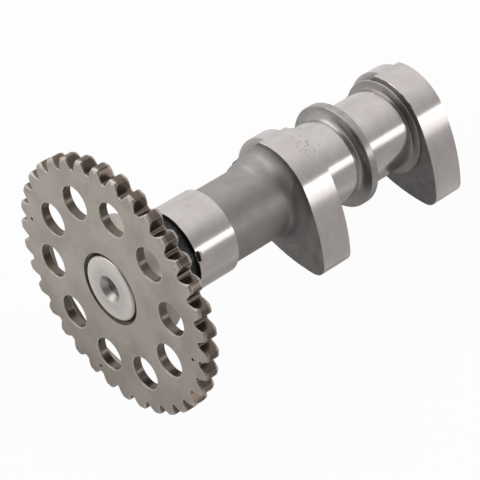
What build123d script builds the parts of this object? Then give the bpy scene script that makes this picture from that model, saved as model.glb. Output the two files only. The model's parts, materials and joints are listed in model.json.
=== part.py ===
"""A short two-lobe camshaft for one side of a small motorcycle engine, with its pressed-on chain sprocket.

All lengths are in millimetres and all angles in degrees. The shaft is drawn along +X with its sprocket
face at x = 0 and the lobes' noses towards +Y, and is then laid down as it comes to rest on a flat surface:
on two of the sprocket's tooth tips and on the far edge of the last lobe.
"""
from build123d import *
from math import asin, atan2, cos, degrees, radians, sin, sqrt, tan
import os

# Sprocket: 34 teeth for an inverted-tooth timing chain of 6.35 mm pitch
tooth_count = 34
tip_diameter = 70.0
tooth_depth = 2.9
tip_land = 2.2
gullet_floor = 1.15
tip_chamfer = 0.3
gullet_rounding = 0.4
rim_width = 4.35
rim_inner_diameter = 58.0
web_thickness = 2.65
hub_diameter = 32.0
hub_length = 9.7
hub_chamfer = 0.6
face_hole_count = 10
face_hole_diameter = 9.0
face_hole_circle = 46.2
face_hole_chamfer = 0.35
pin_hole_diameter = 0.9
pin_hole_inset = 1.95
pin_hole_angles = (126.0, 222.0, 308.5)
bore_chamfer = 0.5

# Angles of the sprocket's features, read like its pin holes from the first face hole, and of the noses
nose_angle = 159.9
gullet_angle = 9.2

# Shaft: diameters
spigot_diameter = 18.0
front_neck_diameter = 20.6
journal_diameter = 23.0
middle_neck_diameter = 20.8
undercut_diameter = 22.2
thrust_flange_diameter = 29.0
rear_ring_diameter = 27.0
tail_diameter = 17.0

# Shaft: lengths, in order from the sprocket
spigot_proud = 0.3
front_neck_length = 9.65
front_journal_length = 12.5
middle_neck_length = 21.45
lobe_width = 9.3
middle_journal_length = 10.5
flange_undercut_length = 0.5
flange_shoulder_length = 1.7
thrust_flange_width = 2.3
rear_journal_length = 15.0
ring_undercut_length = 1.0
rear_ring_length = 0.7
tail_length = 1.5

# Shaft: edges and small features
spigot_chamfer = 0.5
journal_chamfer = 0.15
flange_chamfer = 0.2
ring_chamfer = 0.25
fillet_land = 0.15
fillet_steps = 6    # short cones along the neck's fillet, which keep its mesh light
flange_shoulder_diameter = 25.6
centre_mouth_diameter = 7.2
centre_pilot_diameter = 3.2
centre_depth = 6.0
tail_mouth_diameter = 4.0
tail_pilot_diameter = 1.6
tail_centre_depth = 4.0
centre_cone_angle = 60.0
drill_point_angle = 118.0
edge_notch_width = 2.6
edge_notch_length = 0.8
edge_notch_depth = 0.7
edge_notch_angle = -65.0

# Lobes: a base circle, two flank arcs and a nose arc, all tangent to each other
base_diameter = 29.4
nose_height = 24.35
nose_radius = 4.3
flank_radius = 45.0
lobe_chamfer = 0.15

# Unground places that the cast blank leaves at the heel
heel_flat_height = 12.25
heel_relief_front = 2.2
heel_relief_rear = 2.0
cast_shoulder_diameter = 20.6
cast_shoulder_offset = 1.85
cast_shoulder_length = 5.4
cast_collar_small_diameter = 18.6
cast_collar_large_diameter = 20.6
cast_collar_offset = 1.8
cast_collar_length = 8.7

# Which gullet faces down at rest, counted from the nose
resting_gullet = 6

overrun = 1.0

tip_radius = tip_diameter / 2
root_radius = tip_radius - tooth_depth
tooth_pitch = 360 / tooth_count

# The middle neck's fillet rises to the edge of the first lobe's base circle
neck_fillet_radius = (base_diameter - middle_neck_diameter) / 2 - lobe_chamfer - fillet_land


def turned(start, length, diameter, front_chamfer=0.0, rear_chamfer=0.0):
    """A cylinder along X whose two rims may be chamfered."""
    solid = extrude(Plane.YZ.offset(start) * Circle(diameter / 2), amount=length)
    rims = solid.edges().filter_by(GeomType.CIRCLE).sort_by(Axis.X)
    for rim, size in ((rims[0], front_chamfer), (rims[-1], rear_chamfer)):
        if size > 0:
            solid = chamfer(rim, size)
    return solid


def cone(start, length, first_diameter, last_diameter):
    """A cone along X."""
    profile = Polyline((start, 0), (start, first_diameter / 2),
                       (start + length, last_diameter / 2), (start + length, 0), close=True)
    return revolve(make_face(profile), Axis.X)


def shoulder_fillet(face, diameter, radius):
    """The ring that rounds the corner between the shaft and a wider face at x = face, with the shaft inside it."""
    turns = [radians(90 * step / fillet_steps) for step in range(fillet_steps + 1)]
    arc = [(face - radius * (1 - sin(turn)), diameter / 2 + radius * (1 - cos(turn))) for turn in turns]
    outline = Polyline(*arc, (face, 0), (face - radius, 0), close=True)
    return revolve(make_face(outline), Axis.X)


def centre_drilling(x, mouth_diameter, pilot_diameter, depth, inward):
    """The solid that a centre drill takes out of the end face at x: a cone for a lathe's centre, and a pilot."""
    mouth = mouth_diameter / 2
    pilot = pilot_diameter / 2
    cone_depth = (mouth - pilot) / tan(radians(centre_cone_angle / 2))
    point = pilot / tan(radians(drill_point_angle / 2))
    outline = Polyline((x - inward * overrun, 0), (x - inward * overrun, mouth), (x, mouth),
                       (x + inward * cone_depth, pilot), (x + inward * depth, pilot),
                       (x + inward * (depth + point), 0), close=True)
    return revolve(make_face(outline), Axis.X)


def tooth_outline():
    """The sprocket's toothed outline: tips with broken corners, and gullets with rounded ones."""
    half_land = degrees(asin(tip_land / 2 / tip_radius))
    half_floor = degrees(asin(gullet_floor / 2 / root_radius))
    points = []
    for tooth in range(tooth_count):
        gullet = gullet_angle + tooth * tooth_pitch
        tip = gullet + tooth_pitch / 2
        corners = ((root_radius, gullet - half_floor), (root_radius, gullet + half_floor),
                   (tip_radius, tip - half_land), (tip_radius, tip + half_land))
        points += [(r * cos(radians(angle)), r * sin(radians(angle))) for r, angle in corners]
    face = make_face(Polyline(*points, close=True))
    middle = (tip_radius + root_radius) / 2
    tips = face.vertices().filter_by(lambda corner: corner.center().length > middle)
    face = chamfer(tips, tip_chamfer)
    gullets = face.vertices().filter_by(lambda corner: corner.center().length < middle)
    return fillet(gullets, gullet_rounding)


def ring_of_points(count, diameter, first_angle=0.0):
    return [(diameter / 2 * cos(radians(first_angle + 360 * k / count)),
             diameter / 2 * sin(radians(first_angle + 360 * k / count))) for k in range(count)]


def make_sprocket():
    """The toothed disc: a rim, a thinner web with a ring of holes, and a hub at the back."""
    plate = extrude(Plane.YZ * tooth_outline(), amount=rim_width)
    recess = turned(web_thickness, rim_width, rim_inner_diameter)
    hub = turned(0, hub_length, hub_diameter, rear_chamfer=hub_chamfer)
    sprocket = plate - recess + hub
    for y, z in ring_of_points(face_hole_count, face_hole_circle):
        hole = Pos(0, y, z) * turned(-overrun, hub_length + 2 * overrun, face_hole_diameter)
        mouth_diameter = face_hole_diameter + 2 * face_hole_chamfer
        sprocket -= hole + Pos(0, y, z) * cone(0, face_hole_chamfer, mouth_diameter, face_hole_diameter)
    for angle in pin_hole_angles:
        (y, z), = ring_of_points(1, 2 * (root_radius - pin_hole_inset), angle)
        sprocket -= Pos(0, y, z) * turned(-overrun, rim_width + 2 * overrun, pin_hole_diameter)
    bore = turned(-overrun, hub_length + 2 * overrun, spigot_diameter)
    mouth = cone(0, bore_chamfer, spigot_diameter + 2 * bore_chamfer, spigot_diameter)
    return sprocket - bore - mouth


def lobe_face():
    """The cam's outline in the YZ plane, nose towards +Y."""
    base = base_diameter / 2
    nose_centre = nose_height - nose_radius
    reach_base = flank_radius - base
    reach_nose = flank_radius - nose_radius
    y = (reach_base**2 - reach_nose**2 + nose_centre**2) / (2 * nose_centre)
    z = sqrt(reach_base**2 - y**2)
    base_turn = atan2(z, -y)
    nose_turn = atan2(z, nose_centre - y)
    flank_turn = (base_turn + nose_turn) / 2
    def on_base(turn):
        return (base * cos(turn), base * sin(turn))
    def on_flank(turn, side):
        return (y + flank_radius * cos(turn), side * (flank_radius * sin(turn) - z))
    upper_base, lower_base = on_base(base_turn), on_base(-base_turn)
    upper_nose, lower_nose = on_flank(nose_turn, 1), on_flank(nose_turn, -1)
    outline = (ThreePointArc(upper_base, (-base, 0), lower_base)
               + ThreePointArc(lower_base, on_flank(flank_turn, -1), lower_nose)
               + ThreePointArc(lower_nose, (nose_height, 0), upper_nose)
               + ThreePointArc(upper_nose, on_flank(flank_turn, 1), upper_base))
    return Plane.YZ * make_face(outline)


def heel_block(start, length):
    """A block on the heel side of the shaft, from the heel flat outwards."""
    width = base_diameter + 2 * overrun
    depth = base_diameter / 2 - heel_flat_height + overrun
    return Pos(start + length / 2, -heel_flat_height - depth / 2, 0) * Box(length, depth, width)


def make_lobe(start):
    """One cam with its edges broken, relieved at the heel where the casting was not ground."""
    lobe = extrude(lobe_face().moved(Location((start, 0, 0))), amount=lobe_width)
    ends = lobe.faces().sort_by(Axis.X)
    lobe = chamfer(ends[0].edges() + ends[-1].edges(), lobe_chamfer)
    front = heel_block(start - overrun, heel_relief_front + overrun)
    rear = heel_block(start + lobe_width - heel_relief_rear, heel_relief_rear + overrun)
    return lobe - front - rear


def edge_notch(start):
    """The small notch in the front edge of the first journal."""
    radius = journal_diameter / 2
    block = Pos(start + edge_notch_length / 2, radius, 0) * Box(edge_notch_length, 2 * edge_notch_depth,
                                                                edge_notch_width)
    return Rot(edge_notch_angle, 0, 0) * block


def make_camshaft():
    """The shaft with its journals, lobes and thrust flange, cast and ground as one piece."""
    shaft = turned(-spigot_proud, spigot_proud + hub_length, spigot_diameter, front_chamfer=spigot_chamfer)
    x = hub_length
    shaft += turned(x, front_neck_length, front_neck_diameter)
    x += front_neck_length
    shaft += turned(x, front_journal_length, journal_diameter, journal_chamfer, journal_chamfer)
    shaft -= edge_notch(x)
    x += front_journal_length
    shaft += turned(x, middle_neck_length, middle_neck_diameter)
    x += middle_neck_length
    shaft += shoulder_fillet(x, middle_neck_diameter, neck_fillet_radius)
    shaft -= heel_block(x - neck_fillet_radius, neck_fillet_radius)
    collar_start = x + heel_relief_front - cast_collar_length
    collar = cone(collar_start, cast_collar_length, cast_collar_small_diameter, cast_collar_large_diameter)
    shaft += Pos(0, -cast_collar_offset, 0) * collar
    shaft += make_lobe(x)
    x += lobe_width
    shaft += Pos(0, -cast_shoulder_offset, 0) * turned(x, cast_shoulder_length, cast_shoulder_diameter)
    shaft += turned(x, middle_journal_length, journal_diameter, rear_chamfer=journal_chamfer)
    x += middle_journal_length
    shaft += turned(x, flange_undercut_length, undercut_diameter)
    x += flange_undercut_length
    shaft += cone(x, flange_shoulder_length, undercut_diameter, flange_shoulder_diameter)
    x += flange_shoulder_length
    shaft += turned(x, thrust_flange_width, thrust_flange_diameter, flange_chamfer, flange_chamfer)
    x += thrust_flange_width
    shaft += turned(x, rear_journal_length, journal_diameter, rear_chamfer=journal_chamfer)
    x += rear_journal_length
    shaft += turned(x, ring_undercut_length, undercut_diameter)
    x += ring_undercut_length
    shaft += turned(x, rear_ring_length, rear_ring_diameter, front_chamfer=ring_chamfer)
    x += rear_ring_length
    shaft += make_lobe(x)
    x += lobe_width
    shaft += turned(x, tail_length, tail_diameter, rear_chamfer=journal_chamfer)
    x += tail_length
    shaft -= centre_drilling(-spigot_proud, centre_mouth_diameter, centre_pilot_diameter, centre_depth, 1)
    shaft -= centre_drilling(x, tail_mouth_diameter, tail_pilot_diameter, tail_centre_depth, -1)
    return shaft


def lowest(solid):
    return solid.bounding_box().min.Z


camshaft = make_camshaft()
sprocket = Rot(-nose_angle, 0, 0) * make_sprocket()

first_gullet = (gullet_angle - nose_angle) % tooth_pitch
down_angle = first_gullet + resting_gullet * tooth_pitch
roll = Rot(-90 - down_angle, 0, 0)
camshaft = roll * camshaft
sprocket = roll * sprocket

last_lobe_end = camshaft.bounding_box().max.X - tail_length
last_lobe = roll * make_lobe(last_lobe_end - lobe_width)
drop = lowest(last_lobe) - lowest(sprocket)
tilt = degrees(atan2(drop, last_lobe_end - lobe_chamfer - rim_width))
lay = Rot(0, tilt, 0)
camshaft = lay * camshaft
sprocket = lay * sprocket

box = camshaft.bounding_box().add(sprocket.bounding_box())
seat = Pos(-box.center().X, -box.center().Y, -box.min.Z)
camshaft = seat * camshaft
sprocket = seat * sprocket

os.makedirs("parts", exist_ok=True)
export_step(camshaft, "parts/camshaft.step")
export_step(sprocket, "parts/timing_sprocket.step")
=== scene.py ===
import bpy
import bmesh
import json
import numpy as np
from math import asin, atan2, cos, hypot, pi, radians, sin, sqrt, tan
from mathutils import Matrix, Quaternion, Vector


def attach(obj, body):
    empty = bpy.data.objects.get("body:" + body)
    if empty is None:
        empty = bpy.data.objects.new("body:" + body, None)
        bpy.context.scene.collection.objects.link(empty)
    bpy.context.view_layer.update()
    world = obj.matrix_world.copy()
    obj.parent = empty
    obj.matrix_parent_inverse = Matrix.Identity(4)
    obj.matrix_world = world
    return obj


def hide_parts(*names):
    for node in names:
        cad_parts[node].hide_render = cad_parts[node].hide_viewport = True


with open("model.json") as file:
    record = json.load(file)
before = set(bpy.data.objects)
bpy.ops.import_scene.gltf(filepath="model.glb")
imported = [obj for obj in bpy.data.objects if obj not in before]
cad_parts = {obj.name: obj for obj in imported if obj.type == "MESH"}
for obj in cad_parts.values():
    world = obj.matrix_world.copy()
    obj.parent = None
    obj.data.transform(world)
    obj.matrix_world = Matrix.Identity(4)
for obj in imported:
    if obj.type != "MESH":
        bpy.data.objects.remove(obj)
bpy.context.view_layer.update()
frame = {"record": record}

mm = 0.001     # sizes are in mm and angles in degrees where no note says otherwise

# The shaft's own axes: along it, across it (level) and square to both. Zero is the sprocket's front face.
mounts = {mount["name"]: mount for mount in frame["record"]["mounts"]}
along = np.array(mounts["chain_teeth"]["axis"])
across = np.array([0.0, 1.0, 0.0])
upward = np.cross(along, across)
tilt = atan2(-along[2], along[0])

timing = {
    "teeth": 34,
    "noseAngle": 159.9,      # from the first face hole to the lobes' noses
    "gulletAngle": 9.2,      # from the first face hole to a gullet
    "restingGullet": 6,      # the gullet that faces down, counted from the noses
    "rimWidth": 4.35,
}
toothPitch = 360 / timing["teeth"]
firstGullet = (timing["gulletAngle"] - timing["noseAngle"]) % toothPitch     # from the noses
downAngle = firstGullet + timing["restingGullet"] * toothPitch
noseTurn = radians(-90 - downAngle)                     # the noses' direction, from across towards upward
holeTurn = noseTurn - radians(timing["noseAngle"])      # the first face hole's direction
faceCentre = np.array(mounts["chain_teeth"]["pos_m"]) - along * timing["rimWidth"] / 2 * mm


def inPlace(s, radius, turn):
    # Places in metres of points s mm along the shaft and radius mm off its axis, turn radians from across.
    s, radius, turn = np.broadcast_arrays(s, radius, turn)
    offAxis = np.cos(turn)[..., None] * across + np.sin(turn)[..., None] * upward
    return faceCentre + mm * (s[..., None] * along + radius[..., None] * offAxis)


def waves(points, wavelength, seed, count=24):
    # A smooth bumpy field from about -1 to 1: a sum of sine waves of about one length in random directions.
    rng = np.random.default_rng(seed)
    direction = rng.normal(size=(3, count))
    direction /= np.linalg.norm(direction, axis=0)
    lengths = wavelength * mm * rng.uniform(0.7, 1.5, count)
    phase = rng.uniform(0, 2 * pi, count)
    return np.sin(points @ (2 * pi * direction / lengths) + phase).sum(-1) / sqrt(count)


def smoothstep(low, high, value):
    # 0 below low and 1 above high, with an eased slope between them.
    t = np.clip((value - low) / (high - low), 0, 1)
    return t * t * (3 - 2 * t)


def wrapped(turn):
    # Any angle in radians, brought to between minus and plus half a turn.
    return (turn + pi) % (2 * pi) - pi


def newObject(name, data):
    # An object in the scene, at the origin.
    made = bpy.data.objects.new(name, data)
    bpy.context.scene.collection.objects.link(made)
    return made


def addMesh(name, points, faces, finishes, materials, attributes, sharpAngle):
    # A mesh piece from arrays: faces as rows of corner numbers, one finish number a face, values a point.
    weld = 2e-7     # points nearer than this, in metres, become one
    mesh = bpy.data.meshes.new(name)
    mesh.from_pydata(points, [], faces)
    mesh.polygons.foreach_set("material_index", finishes)
    for title, values in attributes.items():
        mesh.attributes.new(title, "FLOAT", "POINT").data.foreach_set("value", values.astype(np.float32))
    for material in materials:
        mesh.materials.append(material)
    merged = bmesh.new()
    merged.from_mesh(mesh)
    bmesh.ops.remove_doubles(merged, verts=merged.verts, dist=weld)
    bmesh.ops.dissolve_degenerate(merged, edges=merged.edges, dist=weld)
    bmesh.ops.recalc_face_normals(merged, faces=merged.faces)
    merged.to_mesh(mesh)
    merged.free()
    mesh.polygons.foreach_set("use_smooth", np.ones(len(mesh.polygons), bool))
    mesh.set_sharp_from_angle(angle=radians(sharpAngle))
    return newObject(name, mesh)


# Shader maths

class Wire:
    # A node's output in an expression: each operator adds a Math node.

    def __init__(self, graph, socket):
        self.graph, self.socket = graph, socket

    def math(self, operation, first, second):
        # One Math node, its inputs wires or plain numbers.
        return self.graph.node("ShaderNodeMath", {"operation": operation}, [first, second])

    def __add__(self, other):
        return self.math("ADD", self, other)

    def __sub__(self, other):
        return self.math("SUBTRACT", self, other)

    def __rsub__(self, other):
        return self.math("SUBTRACT", other, self)

    def __mul__(self, other):
        return self.math("MULTIPLY", self, other)

    __radd__, __rmul__ = __add__, __mul__

    def between(self, low, high):
        # 0 below low and 1 above high, eased; low may be the larger.
        settings = {"interpolation_type": "SMOOTHSTEP"}
        values = {"Value": self, "From Min": low, "From Max": high}
        return self.graph.node("ShaderNodeMapRange", settings, values)


class Graph:
    # A material's or the world's nodes.

    def __init__(self, owner):
        owner.use_nodes = True
        self.tree = owner.node_tree
        self.tree.nodes.clear()

    def node(self, kind, settings=None, values=(), output=0):
        # Adds a node: its settings first, then its sockets' values or links, by name or in order.
        made = self.tree.nodes.new(kind)
        for title, setting in (settings or {}).items():
            setattr(made, title, setting)
        pairs = values.items() if isinstance(values, dict) else enumerate(values)
        for title, value in pairs:
            socket = made.inputs[title]
            if isinstance(value, Wire):
                self.tree.links.new(value.socket, socket)
            else:
                socket.default_value = value
        return Wire(self, made.outputs[output]) if made.outputs else None

    def blend(self, factor, first, second):
        # first where factor is 0 and second where it is 1; both are colours.
        first, second = ((*c, 1) if isinstance(c, tuple) else c for c in (first, second))
        values = {0: factor, 6: first, 7: second}     # the places of the factor and the two colours
        return self.node("ShaderNodeMix", {"data_type": "RGBA"}, values, output=2)

    def noise(self, vector, scale, detail=2.0, roughness=0.5):
        # Noise of so many waves a metre. Three numbers draw it out along, across or upward.
        if isinstance(scale, tuple):
            vector, scale = self.stretched(vector, scale), 1.0
        values = {"Vector": vector, "Scale": scale, "Detail": detail, "Roughness": roughness}
        return self.node("ShaderNodeTexNoise", {}, values)

    def attribute(self, title):
        # A value that the mesh carries at its points, as a plain number.
        return self.node("ShaderNodeAttribute", {"attribute_name": title}, output=2)

    def objectPlace(self):
        return self.node("ShaderNodeTexCoord", output="Object")

    def shaftPlace(self):
        # Object coordinates turned into the shaft's own, in metres: x along it, zero at the sprocket's face.
        values = {"Vector": self.objectPlace(), "Location": tuple(faceCentre), "Rotation": (0, tilt, 0)}
        return self.node("ShaderNodeMapping", {"vector_type": "TEXTURE"}, values)

    def part(self, vector, letter):
        # One coordinate of a place.
        return self.node("ShaderNodeSeparateXYZ", {}, [vector], output=letter)

    def vector(self, operation, *values, output="Value"):
        # One Vector Math node, its inputs wires or tuples.
        return self.node("ShaderNodeVectorMath", {"operation": operation}, values, output)

    def stretched(self, vector, scale):
        # A place scaled by three factors.
        return self.vector("MULTIPLY", vector, scale, output="Vector")

    def offAxis(self, shaftPlace):
        # How far a place is from the shaft's axis, in metres.
        return self.vector("LENGTH", self.stretched(shaftPlace, (0.0, 1.0, 1.0)))

    def spot(self, s, radius, turn, size):
        # 1 in a round place of size mm, s mm along and radius mm off the axis, turn degrees from the noses.
        centre = tuple(inPlace(s, radius, radians(turn) + noseTurn))
        away = self.vector("DISTANCE", self.objectPlace(), centre)
        return away.between(size * mm, size * 0.5 * mm)

    def bump(self, height, distance, normal=None):
        # A normal tipped by the slope of a height, on top of another bump's normal if there is one.
        values = {"Height": height, "Distance": distance * mm, "Strength": 1.0}
        if normal is not None:
            values["Normal"] = normal
        return self.node("ShaderNodeBump", {}, values)

    def metal(self, colour, roughness, normal):
        # The whole surface is bare metal.
        values = {"Base Color": colour, "Roughness": roughness, "Normal": normal, "Metallic": 1.0}
        shader = self.node("ShaderNodeBsdfPrincipled", {}, values)
        self.node("ShaderNodeOutputMaterial", {}, {"Surface": shader})


def newMaterial(name):
    material = bpy.data.materials.new(name)
    return material, Graph(material)


# Finishes. Where a look gives a pattern one number, that is how many waves it has in a metre, and three are its
# waves along the shaft, across it and upward. Depths are those of the bumps.

def groundSteel():
    # Ground journals and cams: pale grey, fine marks round the shaft, rough where the cast skin is left, and
    # the notch painted near black as shade.
    look = {
        "pale": (0.61, 0.570, 0.550),
        "dull": (0.56, 0.517, 0.50),
        "mark": (0.47, 0.43, 0.413),
        "skin": (0.52, 0.48, 0.462),
        "stain": (0.30, 0.22, 0.205),
        # sunk: the near black that is painted as shade in the notch, and that also darkens the pits
        "sunk": (0.05, 0.05, 0.05),
        "roughness": 0.17, "skinRoughness": 0.5,
        "markDepth": 0.0005, "skinDepth": 0.03,
        "clouds": 240.0, "marks": (1900.0, 70.0, 70.0), "fineMarks": (7000.0, 90.0, 90.0),
        "pitting": 1400.0, "smudging": 900.0, "grain": 1700.0,
        "pits": ((62.3, -113.5, 0.3), (63.8, -108.6, 0.26)),     # along the shaft, from the noses, size
        "smudge": (25.75, -131.8, 0.9),
    }
    material, g = newMaterial("groundSteel")
    place, surface = g.shaftPlace(), shaft["journalRadius"]
    clouds = g.noise(place, look["clouds"])
    fineMarks = g.noise(place, look["fineMarks"], 2.0, 0.6)
    marks = g.noise(place, look["marks"], 3.0, 0.6)
    pits = g.noise(place, look["pitting"], 1.0).between(0.61, 0.67) * g.attribute("pitted")
    for s, turn, size in look["pits"]:
        pits = pits + g.spot(s, surface, turn, size)
    s, turn, size = look["smudge"]
    smudge = g.spot(s, surface, turn, size) * g.noise(place, look["smudging"]).between(0.3, 0.6)
    skin = g.attribute("skin")
    colour = g.blend(clouds.between(0.3, 0.7), look["pale"], look["dull"])
    colour = g.blend(marks.between(0.45, 0.8) * 0.3, colour, look["mark"])
    colour = g.blend(smudge * 0.6, colour, look["stain"])
    colour = g.blend(pits * 0.6, colour, look["skin"])
    colour = g.blend(pits * 0.45, colour, look["sunk"])
    colour = g.blend(skin, colour, look["skin"])
    # Painted shade: the notch, near black over its floor and slopes.
    colour = g.blend(g.attribute("sunk"), colour, look["sunk"])
    smooth = clouds * 0.02 + marks * 0.06 + look["roughness"] - 0.04
    roughness = smooth + (look["skinRoughness"] - smooth) * skin
    normal = g.bump(fineMarks + marks, look["markDepth"])
    grain = g.noise(place, look["grain"], 3.0, 0.65)
    normal = g.bump(grain * skin - pits * 0.5, look["skinDepth"], normal)
    g.metal(colour, roughness, normal)
    return material


def blastedSteel():
    # The middle neck and its fillet: matte even grey with a fine blasted grain, darker towards the lobe; on the
    # near side this is painted shade, deepest half way up the fillet.
    look = {
        "pale": (0.36, 0.337, 0.325),
        "dark": (0.325, 0.304, 0.293),
        "side": (0.25, 0.237, 0.231),
        "hollowShadeColour": (0.1, 0.094, 0.09),
        "roughness": 0.5, "grainDepth": 0.012,
        "clouds": 260.0, "grain": 2600.0, "specks": 900.0,
        "shaded": (0.25, 3.2),       # the length of fillet that is darker, on its far side and near side; the longer stretch on the near side is painted shade
        "nearSide": (-3.0, -9.0),    # where the one side turns into the other, across the shaft
        "hollowShade": 2.6,          # how dark the painted shade in the hollow is half way up the fillet, on the near side
    }
    material, g = newMaterial("blastedSteel")
    place = g.shaftPlace()
    clouds = g.noise(place, look["clouds"])
    grain = g.noise(place, look["grain"], 2.0, 0.6)
    specks = g.noise(place, look["specks"], 2.0, 0.6).between(0.66, 0.8)
    colour = g.blend(clouds.between(0.3, 0.72), look["pale"], look["dark"])
    colour = g.blend(grain.between(0.6, 0.9) * 0.3 + specks * 0.15, colour, look["dark"])
    face = shaft["lobeStarts"][0]
    farShade, nearShade = look["shaded"]
    nearSide = g.part(place, "Y").between(look["nearSide"][0] * mm, look["nearSide"][1] * mm)
    start = nearSide * ((farShade - nearShade) * mm) + (face - farShade) * mm
    upFillet = g.part(place, "X").between(start, face * mm)
    # Painted shade: the fillet darkens to the side colour towards the lobe, over a longer stretch on the near
    # side, and a darker hollow colour is painted half way up it there.
    colour = g.blend(upFillet, colour, look["side"])
    colour = g.blend(upFillet * (1 - upFillet) * nearSide * look["hollowShade"], colour, look["hollowShadeColour"])
    roughness = clouds * 0.06 + look["roughness"] - 0.03
    g.metal(colour, roughness, g.bump(grain, look["grainDepth"]))
    return material


def sideSteel():
    # The lobes' flat sides: the same grain as the neck, darker, with a few small dents.
    look = {
        "pale": (0.29, 0.275, 0.268),
        "dark": (0.23, 0.218, 0.212),
        "roughness": 0.45, "grainDepth": 0.014,
        "clouds": 300.0, "grain": 2400.0, "dents": 520.0,
    }
    material, g = newMaterial("sideSteel")
    place = g.shaftPlace()
    clouds = g.noise(place, look["clouds"], 3.0, 0.55)
    grain = g.noise(place, look["grain"], 2.0, 0.6)
    dents = g.noise(place, look["dents"], 1.0).between(0.74, 0.79)
    colour = g.blend(clouds.between(0.3, 0.7), look["pale"], look["dark"])
    roughness = clouds * 0.08 + look["roughness"] - 0.04
    g.metal(colour, roughness, g.bump(grain - dents, look["grainDepth"]))
    return material


def shadeBlackSteel():
    # Painted shade, near black: the front neck behind the sprocket, the front journal's end face and the
    # drillings' walls, where shade falls between the parts and in the holes.
    look = {
        "pale": (0.075, 0.078, 0.076),
        "dark": (0.04, 0.042, 0.04),
        "roughness": 0.45, "grainDepth": 0.01,
        "grain": 1600.0,
    }
    material, g = newMaterial("shadeBlackSteel")
    grain = g.noise(g.shaftPlace(), look["grain"], 3.0, 0.6)
    colour = g.blend(grain.between(0.35, 0.65), look["pale"], look["dark"])
    g.metal(colour, grain * 0.1 + look["roughness"], g.bump(grain, look["grainDepth"]))
    return material


def turnedSteel():
    # Turned faces with fine rings of tool marks: dull on flange, ring and undercuts, pale on the spigot.
    look = {
        "pale": (0.43, 0.405, 0.39),
        "dull": (0.34, 0.32, 0.307),
        "spigot": (0.62, 0.58, 0.54),
        "roughness": 0.3, "markDepth": 0.0016,
        "clouds": 420.0, "rings": 5200.0,
        "dullMiddle": (8.2, 4.5),    # the radii between which the spigot's face turns duller
    }
    material, g = newMaterial("turnedSteel")
    place = g.shaftPlace()
    clouds = g.noise(place, look["clouds"], 3.0, 0.6)
    radius, x = g.offAxis(place), g.part(place, "X")
    rings = g.node("ShaderNodeCombineXYZ", {}, [x * look["rings"], radius * look["rings"], 0.0])
    marks = g.noise(rings, 1.0, 2.0, 0.6)
    colour = g.blend(clouds.between(0.3, 0.72), look["pale"], look["dull"])
    onSpigot = x.between(shaft["spigotEnd"] * mm, 0.0)
    inMiddle = radius.between(look["dullMiddle"][0] * mm, look["dullMiddle"][1] * mm)
    colour = g.blend(onSpigot, colour, look["spigot"])
    colour = g.blend(onSpigot * inMiddle * 0.4, colour, look["dull"])
    dulled = marks.between(0.45, 0.75) * 0.2 + clouds.between(0.5, 0.75) * 0.2
    colour = g.blend(dulled, colour, look["dull"])
    roughness = clouds * 0.08 + onSpigot * 0.08 + look["roughness"] - 0.04
    g.metal(colour, roughness, g.bump(marks, look["markDepth"]))
    return material


def sprocketSteel():
    # The sprocket: dull brown-grey heat-treated steel, its edges rubbed bright and lit by a painted highlight
    # on the bevels, its teeth darker, and the walls of its holes and bore painted dark as shade.
    look = {
        "face": (0.388, 0.347, 0.304),
        "dull": (0.308, 0.272, 0.24),
        "blush": (0.40, 0.347, 0.328),
        "edge": (0.72, 0.67, 0.61),
        "tooth": (0.15, 0.116, 0.095),
        "shadedWall": (0.15, 0.126, 0.107),
        "gapShade": (0.05, 0.043, 0.038),
        "roughness": 0.36, "flankRoughness": 0.25, "edgeRoughness": 0.2,
        "grainDepth": 0.006, "ringDepth": 0.005,
        "clouds": 90.0, "blushing": 60.0, "specks": 1100.0, "grain": 3000.0, "rings": (4200.0, 60.0, 60.0),
        "dot": (18.55, 8.4, 0.22),   # its radius on the face, its angle from the first face hole, size
        "boreMargin": (1.0, 0.8),    # how far past the bore the gap's shade starts and is full
        "holeMargin": 1.0,           # how far inside the rim the painted shade on the holes' walls is full
    }
    material, g = newMaterial("sprocketSteel")
    place = g.shaftPlace()
    clouds = g.noise(place, look["clouds"], 4.0, 0.6)
    blush = g.noise(place, look["blushing"])
    specks = g.noise(place, look["specks"], 2.0, 0.6)
    grain = g.noise(place, look["grain"], 2.0, 0.6)
    rings = g.noise(place, look["rings"], 2.0, 0.6)
    radius, bore = g.offAxis(place), wheel["bore"]
    inHoles = radius.between(wheel["rimInner"] * mm, (wheel["rimInner"] - look["holeMargin"]) * mm)
    flank, edge = g.attribute("flank"), g.attribute("edge")
    colour = g.blend(clouds.between(0.36, 0.66), look["face"], look["dull"])
    colour = g.blend(blush.between(0.45, 0.65) * 0.45, colour, look["blush"])
    colour = g.blend(specks.between(0.6, 0.85) * 0.35, colour, look["tooth"])
    # Painted shade: the walls of the holes and the bore are dark, mixed with rings of tool marks.
    shadedWall = g.blend(rings.between(0.35, 0.75) * 0.6, look["shadedWall"], look["tooth"])
    colour = g.blend(flank, colour, g.blend(inHoles, look["tooth"], shadedWall))
    inBore = radius.between((bore + look["boreMargin"][0]) * mm, (bore + look["boreMargin"][1]) * mm)
    # Painted shade: the bore's wall and mouth go near black in the gap round the spigot.
    colour = g.blend(flank * inBore, colour, look["gapShade"])
    # Rubbed edges, with a painted highlight on the bevels and hole mouths.
    colour = g.blend(edge * (specks * 0.7 + 0.3), colour, look["edge"])
    dotRadius, dotAngle, dotSize = look["dot"]
    colour = g.blend(g.spot(0.0, dotRadius, dotAngle - timing["noseAngle"], dotSize), colour, look["tooth"])
    plain = clouds * 0.12 + look["roughness"] - 0.06
    roughness = plain + (look["flankRoughness"] - plain) * flank + edge * look["edgeRoughness"]
    normal = g.bump(grain + specks * 0.5, look["grainDepth"])
    normal = g.bump(rings * flank * inHoles, look["ringDepth"], normal)
    g.metal(colour, roughness, normal)
    return material


# Camshaft

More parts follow.
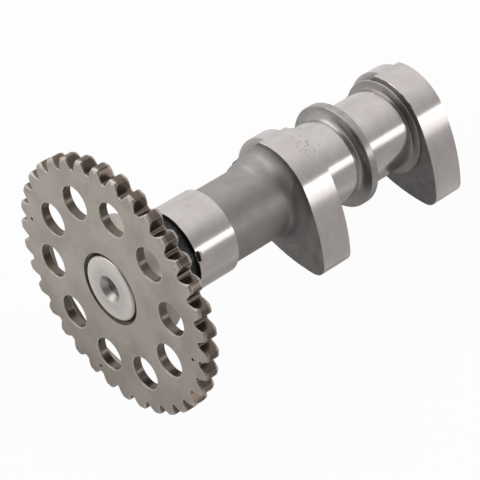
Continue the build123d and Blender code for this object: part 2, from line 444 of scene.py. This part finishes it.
shaft = {
    "around": 280,               # points round each section
    "noseCrowding": 0.3,         # how much closer together they lie round the noses
    "sharpAngle": 38,
    "spigotProud": 0.3, "spigotRadius": 8.92, "spigotEnd": 9.7, "spigotRounding": 1.0, "spigotDome": 0.1,
    "frontCentre": (3.6, 1.6, 6.0), "tailCentre": (2.0, 0.8, 4.0),     # mouth and pilot radii, depth
    "coneAngle": 30,             # between a centre hole's cone and its axis
    "drillPoint": 0.6,           # the depth of the pilot's point, as a share of the pilot's radius
    "softMouth": ((0.45, -0.2), (0.12, 0.04), (0.0, 0.3)),     # below the face, and past the mouth
    "frontNeckRadius": 10.3,
    "frontJournal": (19.35, 31.85), "middleJournalEnd": 73.1, "rearJournalEnd": 92.6,
    "journalRadius": 11.5, "edge": 0.08,
    "neckRadius": 10.4, "neckCorner": 0.3, "neckFillet": 4.0,
    "lobeStarts": (53.3, 94.3), "lobeWidth": 9.3, "lobeEdge": 0.08,
    "undercutRadius": 11.1, "undercutLength": 0.5,
    "flange": (75.3, 77.6), "flangeRadius": 14.5, "flangeEdge": 0.22,
    "ringStart": 93.6, "ringRadius": 13.5, "ringEdge": 0.2,
    "tailEnd": 105.1, "tailRadius": 8.5,
    "castShoulder": (10.3, 1.85),     # radius, offset towards the heel
    "castShoulderEnd": 68.0, "castShoulderRun": 0.9,
    "collar": (46.8, 55.5), "collarRadii": (9.3, 10.3), "collarOffset": 1.8, "collarRun": (0.6, 0.9),
    "castBlend": 0.3,            # how softly the cast rises out of the turned surface
    "notchTurn": -65.0,          # from the noses; the margin lies behind the notch, up to the next section
    "notchWidth": 2.6, "notchLength": 0.8, "notchDepth": 0.7, "notchMargin": 0.3,
    "notchSides": (-0.25, 0.1), "notchEnd": (-0.1, 0.15),     # how far its slopes reach in and out
    "skinShows": (0.02, 0.15),   # the relief at which the cast skin starts and is full
    "pitted": (54.0, 73.0),      # the stretch of journal that has pits
    "pittedMiddle": (62.5, 249), "pittedSpread": (4.5, 0.3),     # along it and round it, the spread in radians
    "darkNotch": 4,              # how soon the notch's painted shade is full: from a quarter of its depth on
    "sliver": 0.01,              # less than any step between sections
}
castWaves = ((0.6, 3.2, 3), (0.4, 1.3, 5))     # share, wavelength, seed
uneven = {"side": 0.02, "frontNeck": 0.01, "neck": 0.006, "fillet": 0.004, "skin": 0.03}     # their heights
cam = {
    "base": 14.7, "nose": 24.35, "noseRadius": 4.3, "flankRadius": 45.0,
    "heelFlat": 12.25, "frontRelief": 2.2, "rearRelief": 2.0, "reliefStep": 0.16,
}


def camRadius(turn):
    # The cam's radius at each angle from its nose: nose arc, flank arc or base circle, whichever spans it.
    noseCentre = cam["nose"] - cam["noseRadius"]
    reachBase = cam["flankRadius"] - cam["base"]
    reachNose = cam["flankRadius"] - cam["noseRadius"]
    flankY = (reachBase**2 - reachNose**2 + noseCentre**2) / (2 * noseCentre)
    flankZ = -sqrt(reachBase**2 - flankY**2)
    toNose = hypot(noseCentre - flankY, flankZ)
    joinY = noseCentre + cam["noseRadius"] * (noseCentre - flankY) / toNose
    joinZ = -cam["noseRadius"] * flankZ / toNose
    noseLimit, baseLimit = atan2(joinZ, joinY), atan2(-flankZ, -flankY)
    turn = np.abs(wrapped(turn))
    bounded = np.clip(turn, 0, noseLimit)
    nose = noseCentre * np.cos(bounded) + np.sqrt(cam["noseRadius"]**2 - (noseCentre * np.sin(bounded))**2)
    towards = flankY * np.cos(turn) + flankZ * np.sin(turn)
    flank = towards + np.sqrt(np.maximum(cam["flankRadius"]**2 - reachBase**2 + towards**2, 0))
    return np.where(turn < noseLimit, nose, np.where(turn < baseLimit, flank, cam["base"]))


def offsetCircle(turn, radius, offset):
    # The radius, seen from the shaft's axis, of a circle whose centre lies offset mm towards the heel.
    return np.sqrt(radius**2 - (offset * np.sin(turn))**2) - offset * np.cos(turn)


def heelLimit(turn):
    # How far the heel flat lets a section reach at each angle; far more on the nose's side.
    leastCosine = 1e-3
    return cam["heelFlat"] / np.maximum(-np.cos(turn), leastCosine)


def standingProud(height):
    # How much of a cast form shows above the turned surface: its height, eased to nothing below it.
    return (height + np.sqrt(height**2 + shaft["castBlend"]**2)) / 2


# A bend's share of the way along the shaft and of the way out, at t from 0 to 1
bends = {
    "straight": lambda t: (t, t),
    "outwards": lambda t: (1 - cos(t * pi / 2), sin(t * pi / 2)),
    "along": lambda t: (sin(t * pi / 2), 1 - cos(t * pi / 2)),
}


class Profile:
    # Sections of a shaft in order: each has places along the axis and radii, one value for each angle.

    def __init__(self, turn):
        self.turn = turn
        self.places, self.radii, self.finish, self.rough = [], [], [], []

    def to(self, s, radius, steps=1, finish=0, rough=0.0, bend="straight"):
        # Adds sections up to s and radius: on a line, or on a quarter arc that leaves outwards or along.
        s, radius = np.broadcast_to(s, self.turn.shape), np.broadcast_to(radius, self.turn.shape)
        if not self.places:
            steps, self.lastS, self.lastR = 1, s, radius
        startS, startR = self.lastS, self.lastR
        for t in np.arange(1, steps + 1) / steps:
            shareS, shareR = bends[bend](t)
            self.places.append(startS + (s - startS) * shareS)
            self.radii.append(startR + (radius - startR) * shareR)
            self.finish.append(finish)
            self.rough.append(rough)
        self.lastS, self.lastR = s, radius

    def follow(self, stations, radius, finish=0, rough=0.0):
        # Adds a section at each station, its radius a function of the place along the shaft.
        for s in stations:
            self.to(s, radius(s), 1, finish, rough)


ground, blasted, side, turned, shadeBlack = range(5)     # the finishes' places in the camshaft's list


def addCentreHole(profile, face, hole, inward):
    # A centre-drilled hole: point, pilot, the cone that a lathe's centre sits in, and a softened mouth. Its
    # point and pilot are painted near black as shade.
    mouth, pilot, depth = hole
    coneDepth = (mouth - pilot) / tan(radians(shaft["coneAngle"]))
    rows = [(depth + shaft["drillPoint"] * pilot, 0.0, shadeBlack), (depth, pilot, shadeBlack),
            (coneDepth, pilot, side), (coneDepth / 2, (pilot + mouth) / 2, side)]
    rows += [(below, mouth + past, turned) for below, past in shaft["softMouth"]]
    for below, radius, finish in rows[::inward]:
        profile.to(face + inward * below, radius, 4, finish)


def addLobe(profile, start):
    # One cam: its front face, the track round it, relieved at the heel near both edges, and its rear edge.
    edge, full = shaft["lobeEdge"], camRadius(profile.turn)
    relieved = np.minimum(full, heelLimit(profile.turn))
    end, step = start + shaft["lobeWidth"], cam["reliefStep"]
    profile.to(start, relieved - edge, 12, side, uneven["side"])
    profile.to(start + edge, relieved, 1, ground)
    profile.to(start + cam["frontRelief"] - step, relieved, 6, ground)
    profile.to(start + cam["frontRelief"], full, 2, ground)
    profile.to(end - cam["rearRelief"], full, 8, ground)
    profile.to(end - cam["rearRelief"] + step, relieved, 2, ground)
    profile.to(end - edge, relieved, 6, ground)
    profile.to(end, relieved - edge, 1, ground)


def addFront(p):
    # From the front centre hole to the front journal's end: domed spigot, then its side, the neck and the
    # journal's end face painted near black as shade, then the journal.
    edge, r = shaft["edge"], shaft["journalRadius"]
    front, spigot, rounding = -shaft["spigotProud"], shaft["spigotRadius"], shaft["spigotRounding"]
    addCentreHole(p, front, shaft["frontCentre"], 1)
    p.to(front + shaft["spigotDome"], spigot - rounding, 8, turned)
    p.to(front + shaft["spigotDome"] + rounding, spigot, 8, turned, 0.0, "outwards")
    p.to(shaft["spigotEnd"], spigot, 2, shadeBlack)
    p.to(shaft["spigotEnd"], shaft["frontNeckRadius"], 1, shadeBlack)
    start, end = shaft["frontJournal"]
    p.to(start, shaft["frontNeckRadius"], 6, shadeBlack, uneven["frontNeck"])
    p.to(start, r - edge, 3, shadeBlack)
    p.to(start + edge, r, 1, ground)
    p.to(start + shaft["notchLength"] + shaft["notchMargin"], r, 5, ground)
    p.to(end - edge, r, 8, ground)
    p.to(end, r - edge, 1, ground)


def addNeck(p):
    # The middle neck: a cylinder that flares into the lobe on a quarter arc, and the collar's cone beside it.
    start, face = shaft["frontJournal"][1], shaft["lobeStarts"][0]
    neck, corner, fillet = shaft["neckRadius"], shaft["neckCorner"], shaft["neckFillet"]
    collarStart, collarEnd = shaft["collar"]
    small, large = shaft["collarRadii"]
    runBefore, runAfter = shaft["collarRun"]

    def surface(s):
        x = min(max(s - face + fillet, 0), fillet)
        rounded = np.minimum(neck + fillet - sqrt(fillet**2 - x**2), heelLimit(p.turn))
        radius = small + (large - small) * (s - collarStart) / (collarEnd - collarStart)
        collar = standingProud(offsetCircle(p.turn, radius, shaft["collarOffset"]) - rounded)
        return rounded + collar * smoothstep(collarStart - runBefore, collarStart + runAfter, s)

    p.to(start, neck + corner, 2, blasted)
    p.to(start + corner, neck, 3, blasted, 0.0, "outwards")
    rise = np.linspace(0, pi / 2, 17)[1:]
    p.follow(np.linspace(start + corner, face - fillet, 37)[1:], surface, blasted, uneven["neck"])
    p.follow(face - fillet + fillet * np.sin(rise), surface, blasted, uneven["fillet"])


def addMiddleJournal(p):
    # The middle journal behind the first lobe, with the cast shoulder's off-centre circle, and an undercut.
    edge, r, undercut = shaft["edge"], shaft["journalRadius"], shaft["undercutRadius"]
    radius, offset = shaft["castShoulder"]
    shoulder = standingProud(offsetCircle(p.turn, radius, offset) - r)
    start, end = shaft["lobeStarts"][0] + shaft["lobeWidth"], shaft["middleJournalEnd"]
    castEnd, castRun = shaft["castShoulderEnd"], shaft["castShoulderRun"]

    def surface(s):
        return r + shoulder * (1 - smoothstep(castEnd - castRun, castEnd, s))

    p.to(start, surface(start), 12, side, uneven["side"])
    p.follow(np.linspace(start, castEnd, 15)[1:], surface, ground)
    p.to(end - edge, r, 5, ground)
    p.to(end, r - edge, 1, ground)
    p.to(end, undercut, 1, turned)
    p.to(end + shaft["undercutLength"], undercut, 3, turned)


def addRear(p):
    # From the flange's sloped shoulder to the tail's centre hole: flange, rear journal, ring, lobe, tail.
    edge, r, undercut = shaft["edge"], shaft["journalRadius"], shaft["undercutRadius"]
    flange, flangeEdge = shaft["flangeRadius"], shaft["flangeEdge"]
    start, end = shaft["flange"]
    p.to(start, flange - flangeEdge, 12, turned, 0.0, "along")
    p.to(start + flangeEdge, flange, 4, turned, 0.0, "outwards")
    p.to(end - flangeEdge, flange, 4, turned)
    p.to(end, flange - flangeEdge, 4, turned, 0.0, "along")
    p.to(end, r, 4, turned)

    end = shaft["rearJournalEnd"]
    p.to(end - edge, r, 12, ground)
    p.to(end, r - edge, 1, ground)
    p.to(end, undercut, 1, turned)
    p.to(end + shaft["undercutLength"], undercut, 2, turned)

    start, ringRadius, ringEdge = shaft["ringStart"], shaft["ringRadius"], shaft["ringEdge"]
    lobe, tail, tailRadius = shaft["lobeStarts"][1], shaft["tailEnd"], shaft["tailRadius"]
    p.to(start, ringRadius - ringEdge, 8, turned, 0.0, "along")
    p.to(start + ringEdge, ringRadius, 3, turned, 0.0, "outwards")
    p.to(lobe, ringRadius, 2, turned)
    addLobe(p, lobe)
    p.to(lobe + shaft["lobeWidth"], tailRadius, 12, side, uneven["side"])
    p.to(tail - edge, tailRadius, 3, turned)
    p.to(tail, tailRadius - edge, 2, turned, 0.0, "along")
    addCentreHole(p, tail, shaft["tailCentre"], -1)


def shaftProfile(turn):
    # The whole camshaft from the bottom of its front centre hole to that of its tail's.
    p = Profile(turn)
    addFront(p)
    addNeck(p)
    addLobe(p, shaft["lobeStarts"][0])
    addMiddleJournal(p)
    addRear(p)
    return p


def notchShare(s, radius, turn):
    # 1 inside the notch in the front journal's front edge and 0 outside it, eased over its walls.
    start, halfWidth, length = shaft["frontJournal"][0], shaft["notchWidth"] / 2, shaft["notchLength"]
    (sideIn, sideOut), (endIn, endOut) = shaft["notchSides"], shaft["notchEnd"]
    aside = np.abs(wrapped(turn - radians(shaft["notchTurn"]))) * shaft["journalRadius"]
    share = 1 - smoothstep(halfWidth + sideIn, halfWidth + sideOut, aside)
    share = share * (1 - smoothstep(length + endIn, length + endOut, s - start))
    return share * (s > start - shaft["sliver"]) * (radius > shaft["journalRadius"] - shaft["notchDepth"])


def castSkin(s, radius, turn):
    # 1 on the cams' cast skin, where the heels were not ground, by how deep it lies below the full cam.
    edge = shaft["lobeEdge"] - shaft["sliver"]
    skin = np.zeros_like(radius)
    for start in shaft["lobeStarts"]:
        onTrack = (s > start + edge) & (s < start + shaft["lobeWidth"] - edge)
        skin = np.maximum(skin, onTrack * smoothstep(*shaft["skinShows"], camRadius(turn) - radius))
    return skin


def pointNormals(points):
    # The normal at each grid point: the cross product of the steps round the section and along the shaft.
    alongRows = np.gradient(points, axis=0)
    aroundRows = (np.roll(points, -1, 1) - np.roll(points, 1, 1)) / 2
    normal = np.cross(aroundRows, alongRows)
    size, least = np.linalg.norm(normal, axis=-1, keepdims=True), 1e-12
    return np.where(size > least, normal / np.maximum(size, least), 0)


def addCamshaft(materials):
    # A lathe surface: each section's radius is a function of the angle from the noses. The notch is sunk
    # into it, and cast stretches are lifted along their normals by a sum of waves.
    count = shaft["around"]
    t = np.arange(count) / count * 2 * pi
    turn = t - shaft["noseCrowding"] * np.sin(t)
    profile = shaftProfile(turn)
    s, radius = np.array(profile.places), np.array(profile.radii)
    inNotch = notchShare(s, radius, turn)
    radius = radius - inNotch * (radius - shaft["journalRadius"] + shaft["notchDepth"])
    points = inPlace(s, radius, turn + noseTurn)
    skin = castSkin(s, radius, turn)
    rough = np.array(profile.rough)[:, None] + uneven["skin"] * skin
    lift = rough * sum(share * waves(points, wavelength, seed) for share, wavelength, seed in castWaves)
    points = points + pointNormals(points) * (lift * mm)[..., None]

    (first, last), (middleS, middleTurn) = shaft["pitted"], shaft["pittedMiddle"]
    spreadS, spreadTurn = shaft["pittedSpread"]
    away = ((turn - radians(middleTurn)) / spreadTurn)**2 + ((s - middleS) / spreadS)**2
    pitted = (s > first) * (s < last) * np.exp(-away)

    rows, columns = radius.shape
    number = np.arange(rows * columns).reshape(rows, columns)
    near, far = number[:-1], number[1:]
    faces = np.stack([near, np.roll(near, -1, 1), np.roll(far, -1, 1), far], -1).reshape(-1, 4)
    finishes = np.repeat(np.array(profile.finish[1:]), columns)
    # The notch's painted shade, full from a quarter of its depth on.
    sunk = np.minimum(1, shaft["darkNotch"] * inNotch)
    attributes = {"skin": skin.ravel(), "pitted": pitted.ravel(), "sunk": sunk.ravel()}
    return addMesh("camshaft_turned", points.reshape(-1, 3), faces.tolist(), finishes, materials,
                   attributes, shaft["sharpAngle"])


# Sprocket

wheel = {
    "tipRadius": 35.0, "toothDepth": 2.9, "tipLand": 2.2, "gulletFloor": 1.15,
    "tipRounding": 0.6, "gulletRounding": 0.55,
    "bevel": 0.2, "tipWear": 3.0, "tipWearDepth": 1.6,     # the bevel grows by 3 times itself at the tips
    "flankMargin": 0.3,     # between the bevel and the plain flank
    "width": timing["rimWidth"], "web": 2.65, "rimInner": 29.0,
    "hubRadius": 16.0, "hubLength": 9.7, "hubEdge": 0.6,
    "bore": 9.0, "boreMouth": 0.85, "boreBack": 0.3,
    "mouthRings": (0.12, 0.4, 2.65),     # rings of points past the bore's mouth
    "holes": 10, "holeRadius": 4.5, "holeCircle": 23.1,
    "holeEdge": 0.35, "holeBackEdge": 0.2, "holeMargin": 0.2,    # the last: between the edge and the plain wall
    "sideSteps": 24,     # steps along a radial side of the part of the web round a hole
    "pinRadius": 0.45, "pinCircle": 30.15, "pinAngles": (126.0, 222.0, 308.5), "pinPoints": 20,
    "sharpAngle": 32,
}
# How bright the rubbed edge is, partly a painted highlight across the bevel, and how dark the flank is, on the
# rows over a bevel from the face to the flank
bevelRows = {"edge": (0.5, 0.7, 0.7, 0.5, 0.3), "flank": (0, 0, 0, 0.1, 0.3)}


def roundedCorner(before, corner, after, radius, count):
    # Points of the arc that rounds a corner, from the side before it to the side after it.
    before, corner, after = map(np.asarray, (before, corner, after))
    a = (before - corner) / np.linalg.norm(before - corner)
    b = (after - corner) / np.linalg.norm(after - corner)
    half = np.arccos(np.clip(a @ b, -1, 1)) / 2
    middle = (a + b) / np.linalg.norm(a + b)
    centre = corner + middle * radius / sin(half)
    first, last = corner + a * radius / np.tan(half), corner + b * radius / np.tan(half)
    start = atan2(*(first - centre)[::-1])
    sweep = wrapped(atan2(*(last - centre)[::-1]) - start)
    angles = start + sweep * np.linspace(0, 1, count)
    return centre + radius * np.stack([np.cos(angles), np.sin(angles)], -1)


def toothLoop():
    # The toothed outline from the middle of a gullet, counter-clockwise. Half a tooth is a rounded gullet
    # corner, a straight flank and a rounded tip corner, and the other half mirrors it.
    root, tip = wheel["tipRadius"] - wheel["toothDepth"], wheel["tipRadius"]
    halfFloor, halfLand = asin(wheel["gulletFloor"] / 2 / root), asin(wheel["tipLand"] / 2 / tip)
    half = radians(toothPitch) / 2
    polar = lambda radius, turn: np.array([radius * cos(turn), radius * sin(turn)])
    corners = [polar(root, -halfFloor), polar(root, halfFloor), polar(tip, half - halfLand),
               polar(tip, half + halfLand)]
    gulletCorner = roundedCorner(*corners[:3], wheel["gulletRounding"], 5)
    tipCorner = roundedCorner(*corners[1:], wheel["tipRounding"], 5)
    flank = np.linspace(gulletCorner[-1], tipCorner[0], 4)[1:-1]
    rising = np.concatenate([gulletCorner, flank, tipCorner])
    mirror = np.array([[cos(2 * half), sin(2 * half)], [sin(2 * half), -cos(2 * half)]])
    falling = (rising @ mirror)[::-1]
    # 25 points for each of 34 teeth are 850 in all, which ten holes share out evenly
    tooth = np.concatenate([polar(root, 0)[None], rising, falling])
    loops = []
    for k in range(timing["teeth"]):
        turn = radians(timing["gulletAngle"] + k * toothPitch)
        turning = np.array([[cos(turn), sin(turn)], [-sin(turn), cos(turn)]])
        loops.append(tooth @ turning)
    return np.concatenate(loops)


def inset(loop, distance):
    # A closed counter-clockwise outline moved inwards along its normals, by one distance for each point.
    ahead = np.roll(loop, -1, 0) - np.roll(loop, 1, 0)
    inward = np.stack([-ahead[:, 1], ahead[:, 0]], -1) / np.linalg.norm(ahead, axis=1)[:, None]
    return loop + inward * np.reshape(distance, (-1, 1))


class Patches:
    # Closed grids of points that share their edges, each a list of rows.

    def __init__(self):
        self.points, self.faces, self.marks, self.count = [], [], [], 0

    def add(self, rows, edge=None, flank=None):
        # rows: an array of (x, y, z) points each. edge and flank: how rubbed bright, partly as a painted
        # highlight, and how dark each row is.
        rows = np.array(rows)
        height, width = rows.shape[:2]
        number = self.count + np.arange(height * width).reshape(height, width)
        a, b = number[:-1], number[1:]
        faces = np.stack([a, np.roll(a, -1, 1), np.roll(b, -1, 1), b], -1)
        values = [np.repeat(np.zeros(height) if mark is None else mark, width) for mark in (edge, flank)]
        self.points.append(rows.reshape(-1, 3))
        self.faces.append(faces.reshape(-1, 4))
        self.marks.append(np.stack(values, -1))
        self.count += height * width


def inSprocket(x, y, z):
    # Places in metres of points x mm behind the sprocket's face, y towards its first hole and z square to it.
    return inPlace(x, np.hypot(y, z), np.arctan2(z, y) + holeTurn)


def level(x, loop):
    # An outline in the sprocket's plane, x mm behind its front face.
    return np.column_stack([np.broadcast_to(x, len(loop)), loop])


def ring(radius, turns):
    # Points of a circle at the angles turns.
    return radius * np.stack([np.cos(turns), np.sin(turns)], -1)


def addRim(p, loop, rimCircle):
    # The teeth between two rounded bevels, the rim's two faces and its inner wall down to the web.
    width, tip, margin = wheel["width"], wheel["tipRadius"], wheel["flankMargin"]
    worn = smoothstep(tip - wheel["tipWearDepth"], tip, np.linalg.norm(loop, axis=1))
    bevel = wheel["bevel"] * (1 + wheel["tipWear"] * worn)
    rounded = [(bevel * (1 - cos(t)), bevel * (1 - sin(t))) for t in np.arange(5) / 4 * pi / 2]
    shapes = rounded + [(bevel + margin, 0 * bevel), (width - bevel - margin, 0 * bevel)]
    shapes += [(width - x, distance) for x, distance in rounded[::-1]]
    edge, flank = bevelRows["edge"], bevelRows["flank"]
    p.add([level(x, inset(loop, distance)) for x, distance in shapes],
          edge=(*edge, 0, 0, *edge[::-1]), flank=(*flank, 1, 1, *flank[::-1]))
    facing = inset(loop, bevel)
    for x, order in ((0.0, 1), (width, -1)):
        rows = [level(x, rimCircle + (facing - rimCircle) * share) for share in (0, 0.5, 0.94, 1)]
        p.add(rows[::order], edge=(0, 0, 0, 0.5)[::order])
    p.add([level(width, rimCircle), level(wheel["web"], rimCircle)])


def addHub(p, turns):
    # The hub from the web's back to its end, the bore forward through it, and the front face round it.
    web, hub, end, edge = wheel["web"], wheel["hubRadius"], wheel["hubLength"], wheel["hubEdge"]
    bore, boreMouth, boreBack = wheel["bore"], wheel["boreMouth"], wheel["boreBack"]
    mouth = bore + boreMouth
    grids = [
        ([(web, hub), (end - edge, hub), (end, hub - edge), (end, bore + boreBack), (end - boreBack, bore)],
         (0, 0.4, 0.4, 0, 0), (0, 0, 0, 0, 1)),
        ([(end - boreBack, bore), (boreMouth, bore), (0.0, mouth)], (0, 0, 0), (1, 1, 1)),
        # the mouth's first ring is dark, running into the painted shade of the gap
        ([(0.0, mouth), *((0.0, mouth + past) for past in wheel["mouthRings"]), (0.0, hub)],
         (0, 0.2, 0, 0, 0), (0.6, 0, 0, 0, 0)),
    ]
    for rows, rubbedAndSheen, dark in grids:
        p.add([level(x, ring(radius, turns)) for x, radius in rows], rubbedAndSheen, dark)


def holeSector(k, arcSteps):
    # The outline of the part of the web round hole k, the hole's centre, and the way from it to each point.
    middle, half = radians(360 / wheel["holes"] * k), pi / wheel["holes"]
    outerArc = ring(wheel["rimInner"], middle + np.linspace(-half, half, arcSteps + 1))
    innerArc = ring(wheel["hubRadius"], middle + np.linspace(half, -half, arcSteps + 1))
    share = np.linspace(0, 1, wheel["sideSteps"] + 1)[1:-1, None]
    down = outerArc[-1] + (innerArc[0] - outerArc[-1]) * share
    up = innerArc[-1] + (outerArc[0] - innerArc[-1]) * share
    outline = np.concatenate([outerArc, down, innerArc, up])
    centre = ring(wheel["holeCircle"], np.array([middle]))[0]
    away = outline - centre
    return outline, centre, away / np.linalg.norm(away, axis=1)[:, None]


def addWeb(p, perSector):
    # The web in one part a hole, each with its front face, the hole's wall with both edges, and its back face.
    web, holeRadius, margin = wheel["web"], wheel["holeRadius"], wheel["holeMargin"]
    edge, backEdge = wheel["holeEdge"], wheel["holeBackEdge"]
    soft = edge * (1 - sqrt(0.5))     # half way round the front edge
    walls = [(0.0, holeRadius + edge), (soft, holeRadius + soft), (edge, holeRadius),
             (edge + margin, holeRadius), (web - backEdge, holeRadius), (web, holeRadius + backEdge)]
    for k in range(wheel["holes"]):
        outline, centre, away = holeSector(k, perSector)
        mouth, back = centre + away * (holeRadius + edge), centre + away * (holeRadius + backEdge)
        p.add([level(0.0, outline + (mouth - outline) * share) for share in (0, 0.5, 0.95, 1)],
              edge=(0, 0, 0, 0.2))
        p.add([level(x, centre + away * radius) for x, radius in walls],
              edge=(0.3, 0.9, 0.5, 0, 0, 0), flank=(0, 0, 0.4, 1, 1, 0))
        p.add([level(web, back + (outline - back) * share) for share in (0, 0.5, 1)])


def addSprocket(materials):
    # The sprocket as grids that join: each circle has one point for each point of the toothed outline.
    p, loop = Patches(), toothLoop()
    count, halfSector = len(loop), 180 / wheel["holes"]
    first = round((timing["gulletAngle"] - halfSector) / 360 * count)
    turns = radians(halfSector) + (first + np.arange(count)) * 2 * pi / count
    addRim(p, loop, ring(wheel["rimInner"], turns))
    addHub(p, turns)
    addWeb(p, count // wheel["holes"])
    points = inSprocket(*np.concatenate(p.points).T)
    edge, flank = np.concatenate(p.marks).T
    faces = np.concatenate(p.faces)
    piece = addMesh("sprocket_machined", points, faces.tolist(), np.zeros(len(faces), int), materials,
                    {"edge": edge, "flank": flank}, wheel["sharpAngle"])
    cutPins(piece)
    return piece


def cutPins(piece):
    # Cuts the three small marking holes through the rim, with a prism for each.
    count, past = wheel["pinPoints"], 1.0     # how far a prism stands out of the rim's faces
    around = np.arange(count) / count * 2 * pi
    drill = bmesh.new()
    for angle in wheel["pinAngles"]:
        y, z = (ring(wheel["pinCircle"], radians(angle)) + ring(wheel["pinRadius"], around)).T
        front, back = ([drill.verts.new(point) for point in inSprocket(x, y, z)]
                       for x in (-past, wheel["width"] + past))
        for k in range(count):
            drill.faces.new((front[k], front[k - 1], back[k - 1], back[k]))
        drill.faces.new(front)
        drill.faces.new(back[::-1])
    bmesh.ops.recalc_face_normals(drill, faces=drill.faces)
    mesh = bpy.data.meshes.new("pinDrills")
    drill.to_mesh(mesh)
    drill.free()
    tool = newObject("pinDrills", mesh)
    cut = piece.modifiers.new("pinHoles", "BOOLEAN")
    cut.object, cut.operation, cut.solver = tool, "DIFFERENCE", "EXACT"
    bpy.context.view_layer.update()
    whole = bpy.data.meshes.new_from_object(piece.evaluated_get(bpy.context.evaluated_depsgraph_get()))
    piece.modifiers.clear()
    piece.data = whole
    bpy.data.objects.remove(tool)


# Stage, in metres but for the places and targets, in the shaft's own mm, and the camera's lens and sensor.

stage = {
    "floorRadius": 3.0, "floorPoints": 64,
    "floorColour": (0.86, 0.86, 0.86, 1),
    "whiteShare": 0.96,                        # how much of the floor seen by the camera is plain white
    "nearShare": 0.2, "farShare": 0.8,         # how much of it the metal mirrors, close by and further off
    "near": 0.05, "far": 0.085, "nearShape": (1.0, 1.4, 0.0),
    "brightSide": 1.0, "dimSide": 0.5,     # the levels that the metal mirrors on the shaft's two sides
    "floorTurns": (-0.09, 0.03), "skyTurns": (-0.65, 0.45),    # where one turns into the other
    "darkest": 0.16,                           # the sky's level in its darkest part
    "darkAround": (-0.137, -0.333, 0.933),     # the direction of that part, above the camera
    "darkWithin": 33.0, "brightBeyond": 54.0,  # angles from that direction
}
camera = {"lens": 165.0, "sensor": 36.0, "clip": (0.01, 20.0),
          "place": (-243.16, -171.43, 442.79), "target": (42.53, -3.27, -8.54), "roll": 9.863}
lamps = {
    "stripLamp": {
        "place": (458, -453, 427), "target": (60, 0, 0), "roll": -27, "size": (0.55, 0.108), "level": 1.8},
    "lowerStripLamp": {
        "place": (459, -505, 362), "target": (60, 0, 0), "roll": -27, "size": (0.55, 0.12), "level": 1.1},
    "keyLamp": {
        "place": (-100, 700, 500), "target": (50, 0, 0), "roll": 0, "size": (0.9, 0.9), "level": 0.95},
}


def pose(owner, spec):
    # Stands a lamp or a camera at its place, facing its target, and rolls it.
    axes = np.stack([along, across, upward])
    place, target = np.array(spec["place"]), np.array(spec["target"])
    facing = Vector(mm * (target - place) @ axes).to_track_quat("-Z", "Y")
    owner.location = faceCentre + mm * place @ axes
    owner.rotation_mode = "QUATERNION"
    owner.rotation_quaternion = facing @ Quaternion((0, 0, 1), radians(spec["roll"]))


def addCamera():
    data = bpy.data.cameras.new("camera")
    data.lens, data.sensor_width = camera["lens"], camera["sensor"]
    data.clip_start, data.clip_end = camera["clip"]
    bpy.context.scene.camera = newObject("camera", data)
    pose(bpy.context.scene.camera, camera)


def addLamp(name, spec):
    # A flat softbox. Its level is how bright its face looks, where 1 is white: its power is level pi area.
    width, height = spec["size"]
    data = bpy.data.lights.new(name, "AREA")
    data.shape, data.size, data.size_y = "RECTANGLE", width, height
    data.energy = spec["level"] * pi * width * height
    lamp = newObject(name, data)
    lamp.visible_camera = False
    pose(lamp, spec)


def sideShade(position, turns):
    # The level that metal mirrors: dim on one side, bright on the other, and eased between them.
    dim, bright = stage["dimSide"], stage["brightSide"]
    return position.between(*turns) * (bright - dim) + dim


def addFloor():
    # A pale disc that keeps the shadow. The camera sees it almost white, and metal mirrors it in part.
    size, count = stage["floorRadius"], stage["floorPoints"]
    turns = np.arange(count) / count * 2 * pi
    mesh = bpy.data.meshes.new("floor")
    mesh.from_pydata([(size * cos(t), size * sin(t), 0.0) for t in turns], [], [tuple(range(count))])
    floor = newObject("floor", mesh)
    material, g = newMaterial("paleFloor")
    seen, mirrored, through = (g.node("ShaderNodeLightPath", output=f"Is {kind} Ray")
                               for kind in ("Camera", "Glossy", "Transmission"))
    place = g.objectPlace()
    strength = seen + (1 - seen) * sideShade(g.part(place, "Y"), stage["floorTurns"])
    white = g.node("ShaderNodeEmission", {}, {"Color": (1, 1, 1, 1), "Strength": strength})
    lit = g.node("ShaderNodeBsdfDiffuse", {}, {"Color": stage["floorColour"]})
    away = g.vector("LENGTH", g.stretched(place, stage["nearShape"])).between(stage["near"], stage["far"])
    mirrored = mirrored * (away * (stage["farShare"] - stage["nearShare"]) + stage["nearShare"])
    share = (seen + through) * stage["whiteShare"] + mirrored
    mixed = g.node("ShaderNodeMixShader", {}, [share, lit, white])
    g.node("ShaderNodeOutputMaterial", {}, {"Surface": mixed})
    mesh.materials.append(material)


def addWorld():
    # White behind the object. Its metal mirrors a dome, dimmer on one side and dark above the camera.
    world = bpy.data.worlds.new("studio")
    bpy.context.scene.world = world
    g = Graph(world)
    seen = g.node("ShaderNodeLightPath", output="Is Camera Ray")
    way = g.node("ShaderNodeTexCoord", output="Generated")
    facing = g.vector("DOT_PRODUCT", way, stage["darkAround"])
    lit = facing.between(cos(radians(stage["darkWithin"])), cos(radians(stage["brightBeyond"])))
    shade = sideShade(g.part(way, "Y"), stage["skyTurns"])
    shade = stage["darkest"] + (shade - stage["darkest"]) * lit
    strength = seen + (1 - seen) * shade
    sky = g.node("ShaderNodeBackground", {}, {"Color": (1, 1, 1, 1), "Strength": strength})
    g.node("ShaderNodeOutputWorld", {}, {"Surface": sky})


steel = [groundSteel(), blastedSteel(), sideSteel(), turnedSteel(), shadeBlackSteel()]
camshaft = addCamshaft(steel)
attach(camshaft, "root")
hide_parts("camshaft")
print("camshaft made:", len(camshaft.data.polygons), "faces")

sprocket = addSprocket([sprocketSteel()])
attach(sprocket, "root")
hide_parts("timing_sprocket")
print("sprocket made:", len(sprocket.data.polygons), "faces")

addCamera()
addFloor()
addWorld()
for name, spec in lamps.items():
    addLamp(name, spec)
print("stage made")

view = bpy.context.scene.view_settings
view.view_transform = "Standard"
